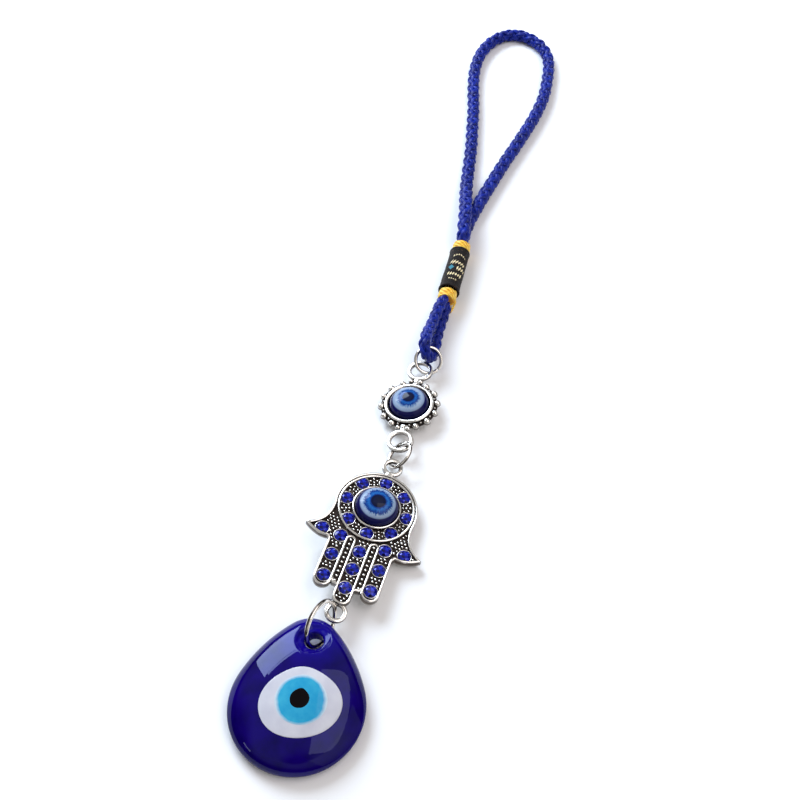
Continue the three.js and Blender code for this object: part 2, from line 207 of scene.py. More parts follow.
def evenly(points, step):
    length = np.concatenate([[0], np.cumsum(np.linalg.norm(np.diff(points, axis=0), axis=1))])
    count = max(2, round(length[-1] / step)) + 1
    where = np.linspace(0, length[-1], count)
    return np.stack([np.interp(where, length, points[:, k]) for k in range(3)], axis=1), where


def unit(vectors):
    return vectors / np.linalg.norm(vectors, axis=1)[:, None]


def carried_frames(points):
    """A tangent, normal and binormal at each point, with no twist between neighbours."""
    tangent = unit(np.gradient(points, axis=0))
    normal = np.zeros_like(points)
    side = np.cross(tangent[0], [0, 0, 1.0])
    normal[0] = side / np.linalg.norm(side)
    for i in range(1, len(points)):
        n = normal[i - 1] - tangent[i] * (normal[i - 1] @ tangent[i])
        normal[i] = n / np.linalg.norm(n)
    return tangent, normal, np.cross(tangent, normal)


def sweep(shape, points, wide, thick, sides=8, mat=0, up=None, uv_scale=1.0):
    """A rounded strand along points; up gives the direction of its thickness at each point."""
    tangent, normal, _ = carried_frames(points)
    across = unit(normal if up is None else np.cross(tangent, up))
    lift = np.cross(across, tangent)
    rows = []
    wide, thick = (np.broadcast_to(reach, len(points)) for reach in (wide, thick))
    for k in range(sides):
        angle = TAU * k / sides
        rows.append(points + across * (wide * cos(angle))[:, None] + lift * (thick * sin(angle))[:, None])
    rows = np.stack(rows, axis=1)
    shape.grid(rows, mat, uv=lambda i: i * uv_scale)
    shape.fan(rows[0], points[0], mat)
    shape.fan(rows[-1], points[-1], mat, flip=True)


def ridge(shape, path, half, low, high, mat=0, closed=True):
    """A raised line with a rounded top along a flat path of (x, y) points."""
    p = np.array(path, float)
    along = unit(np.roll(p, -1, 0) - np.roll(p, 1, 0) if closed else np.gradient(p, axis=0))
    side = np.stack([along[:, 1], -along[:, 0]], axis=1)
    crown = min(half, high - low)
    top = [(half * cos(pi * k / 4), high - crown + crown * sin(pi * k / 4)) for k in range(5)]
    section = [(half, low)] + top + [(-half, low)]
    rows = [[(x + s[0] * w, y + s[1] * w, z) for w, z in section] for (x, y), s in zip(p, side)]
    shape.grid(rows, mat, wrap=False, closed=closed)
    if not closed:
        shape.add(rows[0], [tuple(range(len(section)))], mat)
        shape.add(rows[-1], [tuple(range(len(section)))[::-1]], mat)


# ---------------------------------------------------------------- materials

def linear(*rgb):
    """A screen colour, 0 to 255, as the renderer's own light values."""
    return tuple(c / 12.92 if c <= 0.04045 else ((c + 0.055) / 1.055) ** 2.4 for c in (v / 255 for v in rgb)) + (1.0,)


class Nodes:
    """Short names for the nodes of one node tree."""

    def __init__(self, tree):
        self.tree = tree

    def node(self, kind, inputs=None, **settings):
        made = self.tree.nodes.new("ShaderNode" + kind)
        for key, value in settings.items():
            setattr(made, key, value)
        for key, value in (inputs or {}).items():
            self.feed(made.inputs[key], value)
        return made

    def feed(self, socket, value):
        if isinstance(value, bpy.types.NodeSocket):
            self.tree.links.new(value, socket)
        else:
            socket.default_value = value

    def coords(self, kind="Object"):
        return self.node("TexCoord").outputs[kind]

    def stretched(self, vector, scale):
        return self.node("Mapping", {"Vector": vector, "Scale": scale}).outputs["Vector"]

    def parts(self, vector):
        return self.node("SeparateXYZ", {"Vector": vector}).outputs

    def noise(self, vector, scale, detail=2.0, rough=0.5):
        found = self.node("TexNoise", {"Vector": vector, "Scale": scale, "Detail": detail, "Roughness": rough})
        return found.outputs["Fac"]

    def ramp(self, factor, stops, smooth="LINEAR"):
        made = self.node("ValToRGB", {"Fac": factor})
        made.color_ramp.interpolation = smooth
        ramp = made.color_ramp
        while len(ramp.elements) < len(stops):
            ramp.elements.new(0.5)
        for element, (at, colour) in zip(ramp.elements, stops):
            element.position = at
            element.color = colour
        return made.outputs["Color"]

    def tones(self, factor, *stops, smooth="LINEAR"):
        return self.ramp(factor, [(at, linear(*colour)) for at, colour in stops], smooth)

    def mix(self, factor, a, b, blend="MIX"):
        made = self.node("Mix", data_type="RGBA", blend_type=blend)
        self.feed(made.inputs[0], factor)
        self.feed(made.inputs[6], a)
        self.feed(made.inputs[7], b)
        return made.outputs[2]

    def math(self, operation, *values):
        made = self.node("Math", operation=operation)
        for socket, value in zip(made.inputs, values + (0.0,) * (3 - len(values))):
            self.feed(socket, value)
        return made.outputs[0]

    def plus(self, a, b):
        return self.math("ADD", a, b)

    def minus(self, a, b):
        return self.math("SUBTRACT", a, b)

    def times(self, a, b):
        return self.math("MULTIPLY", a, b)

    def over(self, a, b):
        return self.math("DIVIDE", a, b)

    def below(self, a, b):
        return self.math("LESS_THAN", a, b)

    def above(self, a, b):
        return self.math("GREATER_THAN", a, b)

    def size(self, a):
        return self.math("ABSOLUTE", a)

    def length(self, x, y):
        return self.math("SQRT", self.plus(self.times(x, x), self.times(y, y)))

    def blend(self, a, b, share):
        """The first value with this share of the second."""
        return self.plus(self.times(a, 1 - share), self.times(b, share))

    def around(self, noise, reach):
        """Noise moved to lie about nought, and scaled."""
        return self.times(self.minus(noise, 0.5), reach)

    def span(self, value, low, high, to_low=0.0, to_high=1.0):
        made = self.node("MapRange", {"Value": value, "From Min": low, "From Max": high,
                                      "To Min": to_low, "To Max": to_high})
        return made.outputs["Result"]

    def bump(self, height, strength, distance, before=None):
        made = self.node("Bump", {"Height": height, "Strength": strength, "Distance": distance})
        if before is not None:
            self.feed(made.inputs["Normal"], before)
        return made.outputs["Normal"]


class Look(Nodes):
    """One procedural material built on the standard shader."""

    def __init__(self, name, **constants):
        self.material = bpy.data.materials.new(name)
        self.material.use_nodes = True
        super().__init__(self.material.node_tree)
        self.shader = self.tree.nodes["Principled BSDF"]
        for key, value in constants.items():
            self.shader.inputs[key.replace("_", " ")].default_value = value

    def link(self, key, value):
        self.feed(self.shader.inputs[key], value)


def cord_look(name, dark, mid, light):
    look = Look(name, Roughness=0.42, Sheen_Weight=0.02, Sheen_Roughness=0.4, Specular_IOR_Level=0.22)
    uv = look.coords("UV")
    fibres = look.noise(look.stretched(uv, (0.5, 26.0, 1.0)), 1.0, 3.0, 0.6)
    blotch = look.noise(look.coords(), 420.0, 2.0)
    tone = look.blend(fibres, blotch, 0.5)
    look.link("Base Color", look.tones(tone, (0.3, dark), (0.52, mid), (0.72, light)))
    look.link("Roughness", look.span(fibres, 0.3, 0.7, 0.3, 0.46))
    look.link("Normal", look.bump(fibres, 0.6, 0.00012))
    return look.material


def thread_look():
    look = Look("thread_gold", Roughness=0.4, Sheen_Weight=0.3, Sheen_Roughness=0.3, Specular_IOR_Level=0.5)
    uv = look.coords("UV")
    ply = look.node("TexWave", {"Vector": look.stretched(uv, (0.5, 2.0, 1.0)), "Scale": 1.0, "Distortion": 1.2},
                    bands_direction="DIAGONAL").outputs["Fac"]
    blotch = look.noise(look.coords(), 600.0, 2.0)
    tone = look.plus(look.times(ply, 0.45), look.times(blotch, 0.55))
    look.link("Base Color", look.tones(tone, (0.25, (218, 140, 6)), (0.5, (255, 204, 30)), (0.75, (255, 236, 120))))
    look.link("Normal", look.bump(ply, 0.4, 0.00008))
    return look.material


BROCADE_ROUND, BROCADE_TOP = 16.3, 12.7  # round the sleeve, and where the side facing up lies, in mm
REPEAT = BROCADE_ROUND / 2
LEAF_HEIGHT, LEAF_ACROSS, LEAF_HALF = 79.3, -1.35, 0.85
LOZENGE_ROWS = [  # height, half height, middle, half width, pitch, slant and arch of each row, in mm
    (84.1, 0.26, 0.2, 1.7, 0.62, 0.0, 0.22),
    (81.2, 0.68, 0.2, 2.0, 0.74, 0.5, 0.04),
    (79.1, 0.7, 1.4, 1.2, 0.76, 0.35, 0.0),
    (76.9, 0.62, 0.1, 2.2, 0.7, 0.2, 0.0),
    (75.0, 0.24, -0.1, 1.2, 0.6, 0.0, 0.0),
]


def brocade_look():
    """Dark weave with rows of plain gold lozenges and a turquoise one, repeated front and back."""
    look = Look("brocade", Roughness=0.55, Specular_IOR_Level=0.14)
    uv = look.coords("UV")
    warp = look.node("TexWave", {"Vector": uv, "Scale": 9.0}, bands_direction="X").outputs["Fac"]
    weft = look.node("TexWave", {"Vector": uv, "Scale": 12.0}, bands_direction="Y").outputs["Fac"]
    weave = look.times(warp, weft)
    ground = look.mix(look.noise(uv, 1.6, 3.0), linear(8, 6, 6), linear(30, 24, 22))
    ground = look.mix(look.times(weave, 0.3), ground, linear(52, 45, 42))
    brown = look.above(look.noise(look.stretched(uv, (1.1, 2.6, 1.0)), 1.0, 3.0, 0.65), 0.6)
    ground = look.mix(look.times(brown, 0.55), ground, linear(92, 66, 48))
    around, along = look.parts(uv)[:2]
    wander = look.around(look.noise(uv, 0.8, 2.0), 0.5)
    height = look.plus(along, wander)
    turned = look.plus(around, REPEAT / 2 - BROCADE_TOP + BROCADE_ROUND)
    across = look.minus(look.math("MODULO", turned, REPEAT), REPEAT / 2)
    gold = None
    for number, (at, tall, middle, half, pitch, slant, arch) in enumerate(LOZENGE_ROWS):
        side = look.minus(across, middle)
        bend = look.times(look.times(side, side), arch)
        up = look.plus(look.minus(height, at), bend)
        column = look.over(look.minus(side, look.times(up, slant)), pitch)
        step = look.node("CombineXYZ", {"X": look.math("FLOOR", column), "Y": 3.7 * number}).outputs[0]
        chance = look.node("TexWhiteNoise", {"Vector": step}, noise_dimensions="2D").outputs["Value"]
        reach = look.span(chance, 0.0, 1.0, 0.8 * tall, 1.4 * tall)
        off = look.size(look.minus(look.math("FRACT", column), 0.5))
        spread = look.plus(look.times(off, 2.4), look.over(look.size(up), reach))
        row = look.times(look.below(spread, 1.0), look.below(look.size(side), half))
        gold = row if gold is None else look.math("MAXIMUM", gold, row)
    lozenge = look.plus(look.size(look.minus(height, LEAF_HEIGHT)), look.size(look.plus(across, -LEAF_ACROSS)))
    leaf = look.below(lozenge, LEAF_HALF)
    fray = look.above(look.noise(uv, 5.5, 2.0), 0.36)
    gold = look.times(gold, fray)
    colour = look.mix(leaf, ground, look.mix(look.noise(uv, 4.0, 2.0), linear(34, 96, 122), linear(92, 176, 196)))
    colour = look.mix(gold, colour, linear(255, 238, 190))
    look.link("Base Color", colour)
    look.link("Roughness", look.span(gold, 0.0, 1.0, 0.55, 0.32))
    first = look.bump(weave, 0.5, 0.00008)
    look.link("Normal", look.bump(look.math("MAXIMUM", gold, leaf), 0.6, 0.00012, first))
    return look.material


def silver_look(name, colour, rough, flank, painted_shade_reach):
    """Bright plated metal, with painted shade: browner on its sideways-facing flanks and brown-black in its crevices.
    """
    look = Look(name, Metallic=1.0, Roughness=rough)
    where = look.coords()
    blotch = look.noise(where, 380.0, 3.0, 0.6)
    worn = look.noise(where, 1900.0, 2.0)
    # bright is the plate's own colour; side and dark are painted shade colours
    bright, side, dark = linear(*colour), linear(74, 64, 57), linear(28, 21, 18)
    # painted light and shade: faces turned up get the bright colour, sideways flanks the painted shade colour, mottled
    # by noise
    facing = look.size(look.parts(look.coords("Normal"))["Z"])
    painted_facing_light = look.span(look.plus(facing, look.around(blotch, 0.35)), *flank)
    # painted shade: ambient occlusion darkens crevices and places where parts touch to brown-black
    hidden = look.node("AmbientOcclusion", {"Distance": painted_shade_reach}, samples=8).outputs["AO"]
    open_air = look.span(hidden, 0.35, 0.8)
    look.link("Base Color", look.mix(open_air, dark, look.mix(painted_facing_light, side, bright)))
    look.link("Roughness", look.span(worn, 0.3, 0.7, rough * 0.7, rough * 1.5))
    look.link("Normal", look.bump(look.plus(blotch, look.times(worn, 0.3)), 0.25, 0.00006))
    return look.material


def recess_look():
    """The blackened floor between the raised lines."""
    look = Look("blackened_recess", Metallic=0.55, Roughness=0.55)
    where = look.coords()
    grain = look.noise(where, 1500.0, 3.0, 0.7)
    look.link("Base Color", look.tones(grain, (0.35, (14, 9, 8)), (0.6, (48, 34, 28)), (0.8, (120, 104, 92))))
    look.link("Roughness", look.span(grain, 0.3, 0.8, 0.7, 0.4))
    look.link("Normal", look.bump(grain, 0.5, 0.0001))
    return look.material


def stone_look():
    look = Look("rhinestone", Metallic=0.15, Roughness=0.06, Specular_IOR_Level=0.35, IOR=1.6)
    facet = look.node("Attribute", attribute_name="facet").outputs["Fac"]
    depth = look.noise(look.coords(), 900.0, 2.0)
    tone = look.plus(look.times(facet, 0.75), look.times(depth, 0.25))
    look.link("Base Color", look.tones(tone, (0.2, (2, 3, 44)), (0.6, (6, 12, 126)), (0.92, (24, 50, 208))))
    look.link("Normal", look.bump(depth, 0.08, 0.00003))
    return look.material


def cabochon_look(name, pupil, iris, pale, edge):
    """A moulded eye: black centre with a painted grey reflection in its middle, blue ring, pale streaked ring and navy
    side, by radius in mm.
    """
    look = Look(name, Roughness=0.05, Specular_IOR_Level=0.16)
    where = look.coords()
    x, y = look.parts(where)[:2]
    radius = look.times(look.length(x, y), 1000.0)
    angle = look.math("ARCTAN2", y, x)
    spokes = look.node("CombineXYZ", {"X": look.times(look.math("COSINE", angle), 4.5),
                                      "Y": look.times(look.math("SINE", angle), 4.5),
                                      "Z": look.times(radius, 0.35)}).outputs[0]
    ragged = look.noise(spokes, 2.6, 3.0, 0.65)
    cloud = look.noise(where, 700.0, 2.0)
    shifted = look.plus(radius, look.around(ragged, 2.1))
    full = edge * 1.05
    # the first two stops paint a grey reflection in the middle of the black pupil
    stops = [
        (0.0, (24, 24, 26)), (0.55 * pupil, (18, 18, 20)), (0.85 * pupil, (6, 6, 14)), (0.98 * pupil, (4, 5, 12)),
        (1.07 * pupil, (10, 48, 118)), (1.3 * pupil, (30, 98, 172)), (0.7 * iris, (34, 104, 176)),
        (0.93 * iris, (16, 62, 132)), (iris, (14, 30, 100)), (1.09 * iris, (104, 138, 180)),
        (0.5 * (iris + pale), (158, 176, 196)), (0.97 * pale, (140, 160, 188)), (1.05 * pale, (18, 12, 66)),
        (full, (12, 6, 46)),
    ]
    stops = [(at / full, colour) for at, colour in stops]
    even, torn = (look.tones(look.over(at, full), *stops, smooth="EASE") for at in (radius, shifted))
    band = look.times(look.above(radius, 1.15 * pupil), look.below(radius, 0.9 * pale))
    colour = look.mix(band, even, torn)
    look.link("Base Color", look.mix(look.times(cloud, 0.18), colour, linear(30, 60, 150)))
    look.link("Normal", look.bump(cloud, 0.05, 0.00003))
    return look.material


def glass_look(name, low, high, scale=240.0, at=(0.3, 0.7), gloss=0.14, tint=(1.0, 1.0, 1.0, 1.0)):
    """Polished glass whose colour drifts from low to high in soft clouds."""
    look = Look(name, Roughness=0.03, Specular_IOR_Level=gloss, Specular_Tint=tint, IOR=1.52)
    cloud = look.noise(look.coords(), scale, 3.0, 0.5)
    look.link("Base Color", look.tones(cloud, (at[0], low), (at[1], high)))
    look.link("Normal", look.bump(look.noise(look.coords(), 160.0, 1.0), 0.04, 0.0003))
    return look


def cobalt_look():
    """Deep blue glass, painted a little brighter round the hole where it is thin, for the light that shines through
    there.
    """
    look = glass_look("cobalt_glass", (9, 0, 74), (18, 0, 100), 220.0, (0.35, 0.65), 0.26, (0.6, 0.66, 1.0, 1.0))
    near = look.node("VectorMath", {0: look.coords(), 1: (0.001, 0.0135, 0.003)}, operation="DISTANCE").outputs["Value"]
    # painted light: a lighter blue that fades out from the hole's middle
    glow = look.span(near, 0.0015, 0.008, 1.0, 0.0)
    base = look.shader.inputs["Base Color"].links[0].from_socket
    look.link("Base Color", look.mix(look.times(glow, 0.6), base, linear(20, 8, 156)))
    return look.material


def iris_look(radius, centre):
    """Light blue that fades into the white glass at its rim."""
    look = Look("blue_glass", Roughness=0.03, Specular_IOR_Level=0.14, IOR=1.52)
    where = look.coords()
    middle = (centre[0] * MM, centre[1] * MM, 0.0)
    away = look.node("VectorMath", {0: where, 1: middle}, operation="SUBTRACT").outputs[0]
    distance = look.times(look.length(*look.parts(away)[:2]), 1000.0 / radius)
    distance = look.plus(distance, look.around(look.noise(where, 420.0, 3.0, 0.6), 0.12))
    blue = look.tones(look.noise(where, 260.0, 3.0, 0.6), (0.3, (30, 144, 192)), (0.7, (62, 170, 202)))
    look.link("Base Color", look.mix(look.span(distance, 0.86, 1.0), blue, linear(196, 210, 220)))
    return look.material


# ---------------------------------------------------------------- cord

def braid(name, route, scale, nodes, materials, held=1.9, taper=2.4):
    """A plaited round cord: strands wound each way pass over and under each other round a core painted near-black as
    the shade between them.
    It is pinched to 0.6 of its width where it is held, and swells over the taper beyond.
    """
    line, along = evenly(centripetal(route), STEP)
    line = line + SHIFT
    _, normal, binormal = carried_frames(line)
    ends = np.minimum(along, along[-1] - along)
    swell = scale * np.clip(0.6 + 0.4 * (ends - held) / taper, 0.6, 1.0)
    shape = Shape()
    angle = TAU * along / (TURN_LENGTH * scale)
    for way in (1, -1):
        for k in range(STRANDS):
            theta = way * angle + TAU * k / STRANDS
            reach = swell * (1.1 + way * 0.28 * np.cos(STRANDS * angle))
            radial = normal * np.cos(theta)[:, None] + binormal * np.sin(theta)[:, None]
            points = line + radial * reach[:, None]
            sweep(shape, points, swell * 0.68, swell * 0.42, up=radial, uv_scale=STEP)
    # the core takes the second material, painted near-black for the shade in the gaps between strands
    core = swell[::2] * 0.95
    sweep(shape, line[::2], core, core, 10, 1, uv_scale=2 * STEP)
    piece = shape.make(name, materials, FLAT, "cord_set", nodes)
    path = [tuple(p * MM) for p in line[::3]] + ([tuple(line[-1] * MM)] if (len(line) - 1) % 3 else [])
    return piece, path


TAIL = [(5.9, 71.4, 2.2), (6.15, 70.9, 1.6), (6.0, 70.2, 0.9), (5.8, 69.3, 0.5), (5.5, 68.2, 0.35)]


def whipping(name, span, nodes, material, tail=False):
    """Thread wound tightly round the doubled cord, over a closed drum."""
    x, z = BINDING
    start, end = span
    turns, radius, steps = 5, 2.0, 200
    points = []
    for i in range(steps + 1):
        t = i / steps
        angle = TAU * turns * t + 0.6
        reach = radius + 0.1 + 0.12 * sin(pi * t) + 0.05 * sin(5.3 * angle) * sin(angle)
        points.append((x + reach * cos(angle), start + 0.15 + (end - start - 0.3) * t, z + reach * sin(angle)))
    shape = Shape()
    outward = unit((np.array(points) - [x, 0, z]) * [1, 0, 1])
    sweep(shape, np.array(points) + SHIFT, 0.31, 0.2, up=outward, uv_scale=0.3)
    if tail:
        sweep(shape, evenly(centripetal(TAIL), 0.2)[0] + SHIFT, 0.26, 0.2, 7, uv_scale=0.3)
    rows = []
    for t, shrink in ((0.0, -0.2), (0.04, 0.0), (0.5, 0.0), (0.96, 0.0), (1.0, -0.2)):
        y = start + (end - start) * t
        drum = circle(radius + shrink, 40)
        rows.append([(x + a + CENTRE.x, y + CENTRE.y, z - b) for a, b, _ in drum])
    shape.grid(rows)
    shape.fan(rows[0], (x + CENTRE.x, start + CENTRE.y, z))
    shape.fan(rows[-1], (x + CENTRE.x, end + CENTRE.y, z), flip=True)
    return shape.make(name, [material], FLAT, "cord_set", nodes)


def sleeve_piece(material):
    """A woven tube pulled over the binding, a little creased, with its ends turned in."""
    x, z = BINDING
    start, end = SLEEVE_SPAN
    count, rows = 96, []
    stations = [(0.05, 2.1), (0.012, 2.3), (0.0, 2.62), (0.012, 2.78), (0.03, 2.84)]  # share of length, radius
    for t in np.linspace(0.06, 0.94, 34):
        stations.append((t, 2.6 + 0.24 * math.exp(-t * 14) + 0.1 * math.exp(-(1 - t) * 12)))
    stations += [(0.97, 2.74), (0.988, 2.7), (1.0, 2.56), (0.985, 2.25), (0.95, 2.1)]
    for t, radius in stations:
        row = []
        for k in range(count):
            angle = TAU * k / count
            crease = 0.05 * sin(2 * angle + 5 * t) + 0.035 * sin(3 * angle - 9 * t + 1)
            crease += 0.03 * sin(15 * t + 2 * cos(angle))
            r = radius + crease * sin(pi * t) ** 0.5
            skew = 0.12 * sin(angle + 0.8) * (1 if t > 0.5 else -1) * abs(2 * t - 1) ** 3
            row.append((x + r * cos(angle) + CENTRE.x, start + (end - start) * t + skew + CENTRE.y, z - r * sin(angle)))
        rows.append(row)
    faces, uvs = [], []
    for i in range(len(rows) - 1):
        a, b = rows[i][0][1] - CENTRE.y, rows[i + 1][0][1] - CENTRE.y
        for k in range(count):
            m = (k + 1) % count
            faces.append((i * count + k, i * count + m, (i + 1) * count + m, (i + 1) * count + k))
            u, v = BROCADE_ROUND * k / count, BROCADE_ROUND * (k + 1) / count
            uvs.append([(u, a), (v, a), (v, b), (u, b)])
    shape = Shape()
    shape.add([p for row in rows for p in row], faces, 0, uvs)
    return shape.make("brocade_sleeve", [material], FLAT, "cord_set", ["sleeve"])


# ---------------------------------------------------------------- metal pieces

def jump_ring(name, spec, material):
    at = Vector(spec["at"]) + CENTRE
    turned = Vector((0, 0, 1)).rotation_difference(Vector(spec["normal"]).normalized())
    gap = 0.2 / spec["radius"]
    count = 120
    points = []
    for i in range(count + 1):
        angle = spec["cut"] + gap / 2 + (TAU - gap) * i / count
        drift = 0.05 * (i / count - 0.5)  # the two wire ends sit a little out of line
        points.append(Vector((spec["radius"] * cos(angle), spec["radius"] * sin(angle), drift))[:])
    shape = Shape()
    ends = np.minimum(np.arange(count + 1), count - np.arange(count + 1))
    wire = spec["wire"] * np.where(ends == 0, 0.82, 1.0)
    sweep(shape, np.array(points), wire, wire, 16, uv_scale=0.2)
    matrix = Matrix.Translation(at * MM) @ turned.to_matrix().to_4x4()
    return shape.make(name.replace("jump_ring", "wire_ring"), [material], matrix, RING_BODY[name], [name])


def eyelet(shape, centre, hole, radius, mid, thick, mat=0):
    """A flat cast loop with rounded edges."""
    x, y = centre
    h, c = thick / 2, 0.2
    low, high = mid - h, mid + h
    section = [(hole, low + c), (hole + c * 0.3, low + c * 0.3), (hole + c, low), (radius - c, low),
               (radius - c * 0.3, low + c * 0.3), (radius, low + c), (radius, high - c),
               (radius - c * 0.3, high - c * 0.3), (radius - c, high), (hole + c, high),
               (hole + c * 0.3, high - c * 0.3), (hole, high - c)]
    lathe(shape, section, 56, (x, y), mat, closed=True)


def neck(shape, x, low, high, half, mid, thick, mat=0):
    """A short rounded bar joining a loop to its charm."""
    rows = []
    for y in (low, 0.5 * (low + high), high):
        waist = half * (0.86 if y == 0.5 * (low + high) else 1.0)
        rows.append([(x + waist * cos(TAU * k / 16 + 0.2), y, mid + 0.5 * thick * sin(TAU * k / 16 + 0.2))
                     for k in range(16)])
    shape.grid(rows[::-1], mat)


def connector_pieces(silver, recess, eye):
    shape = Shape()
    lathe(shape, [(0.0, 0.0), (4.2, 0.0), (4.5, 0.12), (5.75, 1.55), (5.9, 1.8), (5.95, 2.8), (5.88, 2.97),
                  (5.7, 3.06), (5.3, 3.06), (5.1, 2.97), (5.02, 2.82), (4.98, 0.8), (0.0, 0.8)], 96)
    lathe(shape, [(5.6, 1.62), (6.75, 1.62), (6.8, 1.75), (6.75, 2.12), (5.7, 2.2)], 96, mat=1)
    places = 14
    for i in range(places):
        if i % 7 == 0:
            continue
        angle = pi / 2 + TAU * i / places
        wobble = 1 + 0.05 * sin(3.7 * i)
        ball(shape, (6.7 * cos(angle), 6.75 * sin(angle), 2.02), 0.88 * wobble, rows=10, count=20, full=True)
    for i in range(places):
        angle = pi / 2 + TAU * (i + 0.5) / places
        ball(shape, (6.2 * cos(angle), 6.2 * sin(angle), 2.15), 0.3, rows=6, count=10)
    for sign in (1, -1):
        for side, reach, size in ((-1.15, 7.2, 0.62), (1.3, 7.2, 0.62), (0.1, 7.0, 0.5)):
            ball(shape, (side, sign * reach, 2.2), size, rows=8, count=14, full=True)
        eyelet(shape, (0.3, sign * 10.9), 2.15, 3.15, 2.0, 0.9)
        neck(shape, 0.3, *((8.2, 6.4) if sign > 0 else (-6.4, -8.2)), 1.15, 1.95, 1.0)
    matrix = pose(**CONNECTOR_POSE)
    shape.make("connector_cast", [silver, recess], matrix, "connector", ["connector_frame"])
    dome = Shape()
    cabochon(dome, 4.75, 1.1, 2.5, 5.3)
    dome.make("connector_cabochon", [eye], matrix, "connector", ["connector_eye"])


def cabochon(shape, radius, foot, girdle, top):
    profile = [(0.0, foot), (radius * 0.97, foot), (radius, foot + 0.15), (radius, girdle)]
    for i in range(1, 25):
        angle = pi / 2 * i / 24
        profile.append((radius * cos(angle) ** 0.92 if i < 24 else 0.0, girdle + (top - girdle) * sin(angle)))
    lathe(shape, profile, 96)


# The open hand, in its own frame: y runs from the fingertips up to the head's loop.
HEAD, SHOULDER = 9.3, 11.46  # radius of the head, and how far below its middle it ends, in degrees
FINGER_HALF, FINGER_X, SIDE_TIP, MIDDLE_TIP = 2.0, 5.3, -22.4, -25.1
SLOT_X, SLOT_HALF, SLOT_TOP, SLOT_END = 2.65, 0.92, -9.9, -21.2
FLOOR, BACK = -0.5, -1.8
STONE_RING, STONE_RADIUS = 6.97, 1.46  # the ring of stones round the eye, and one stone


def stone_spots():
    """The middle of each stone in the hand, by the name of its solid."""
    spots = {}
    for i in range(8):
        angle = pi / 2 + TAU * i / 8
        spots[f"stone_ring_{i + 1}"] = (STONE_RING * cos(angle), STONE_RING * sin(angle))
    sides = dict(wing=(9.4, -9.2), palm=(5.05, -9.55), finger=(5.35, -14.6), fingertip=(5.25, -19.9))
    for name, (x, y) in sides.items():
        spots[f"stone_left_{name}"] = (-x, y)
        spots[f"stone_right_{name}"] = (x, y)
    for name, y in dict(knuckle=-11.9, middle=-16.4, tip=-21.1).items():
        spots[f"stone_middle_{name}"] = (0.0, y)
    return spots


STONE_SPOTS = stone_spots()


def bezier(a, b, c, d, count):
    a, b, c, d = (np.array(p, float) for p in (a, b, c, d))
    t = np.linspace(0, 1, count, endpoint=False)[:, None]
    return ((1 - t) ** 3 * a + 3 * (1 - t) ** 2 * t * b + 3 * (1 - t) * t ** 2 * c + t ** 3 * d).tolist()


def arc(centre, radius, start, end, count):
    t = np.linspace(radians(start), radians(end), count, endpoint=False)
    return [(centre[0] + radius * cos(a), centre[1] + radius * sin(a)) for a in t]


def hand_half():
    """The left half's outline, from the head's side down to the middle fingertip."""
    shoulder = radians(180 + SHOULDER)
    head = (HEAD * cos(shoulder), HEAD * sin(shoulder))
    wing, crotch = (-13.2, -9.1), (-7.3, -10.6)
    side, middle = SIDE_TIP + FINGER_HALF, MIDDLE_TIP + FINGER_HALF
    inner = FINGER_X - FINGER_HALF
    points = bezier(head, (head[0] + 0.1, head[1] - 3.2), (wing[0] + 3.6, wing[1] + 1.9), wing, 22)
    points += bezier(wing, (wing[0] + 1.8, wing[1] - 1.3), (crotch[0] - 1.6, crotch[1] - 0.7), crotch, 14)
    points += [(-FINGER_X - FINGER_HALF, crotch[1] + (side - crotch[1]) * k / 12) for k in range(1, 12)]
    points += arc((-FINGER_X, side), FINGER_HALF, 180, 360, 18)
    points += [(-inner, side), (-inner, side - 0.35), (-inner + 0.25, side - 0.6), (-FINGER_HALF - 0.25, side - 0.6),
               (-FINGER_HALF, side - 0.85)]
    points += [(-FINGER_HALF, side - 0.85 + (middle - side + 0.85) * k / 4) for k in range(1, 4)]
    points += arc((0, middle), FINGER_HALF, 180, 270, 10)
    return points


def hand_outline():
    left = hand_half()
    right = [(-x, y) for x, y in reversed(left)]
    top = arc((0, 0), HEAD, -SHOULDER, 180 + SHOULDER, 90)
    return np.array(left + [(0.0, MIDDLE_TIP)] + right + top[1:], float)


def inset(points, amount):
    ahead, behind = np.roll(points, -1, 0) - points, points - np.roll(points, 1, 0)
    ahead /= np.maximum(np.linalg.norm(ahead, axis=1), 1e-6)[:, None]
    behind /= np.maximum(np.linalg.norm(behind, axis=1), 1e-6)[:, None]
    along = ahead + behind
    along /= np.maximum(np.linalg.norm(along, axis=1), 1e-6)[:, None]
    inward = np.stack([-along[:, 1], along[:, 0]], axis=1)
    widen = 1 / np.maximum(np.abs((along * ahead).sum(1)), 0.55)
    return points + inward * (amount * widen)[:, None]


def filled(shape, loop, z, mat, flip=False):
    found = delaunay_2d_cdt([Vector(p) for p in loop], [], [list(range(len(loop)))], 1, 1e-5)
    faces = [f[::-1] if flip else f for f in found[2]]
    shape.add([(p.x, p.y, z) for p in found[0]], faces, mat)


def within(point, loop):
    x, y = point
    inside = False
    for (ax, ay), (bx, by) in zip(loop, np.roll(loop, -1, 0)):
        if (ay > y) != (by > y) and x < (bx - ax) * (y - ay) / (by - ay) + ax:
            inside = not inside
    return inside


def slot_path(sign):
    x = sign * SLOT_X
    down = np.linspace(SLOT_END, SLOT_TOP, 12, endpoint=False)
    path = [(x + SLOT_HALF, y) for y in down]
    path += arc((x, SLOT_TOP), SLOT_HALF, 0, 180, 14)
    path += [(x - SLOT_HALF, y) for y in list(down[::-1])]
    return path


BETWEEN_STONES = [  # angle from the middle of the gap, distance from the eye's middle and size of each dot
    (0.0, 6.0, 0.3), (0.12, 6.2, 0.24), (-0.12, 6.2, 0.24), (0.0, 6.75, 0.3), (0.0, 7.65, 0.32),
    (0.105, 7.2, 0.27), (-0.105, 7.2, 0.27), (0.2, 7.9, 0.23), (-0.2, 7.9, 0.23),
]


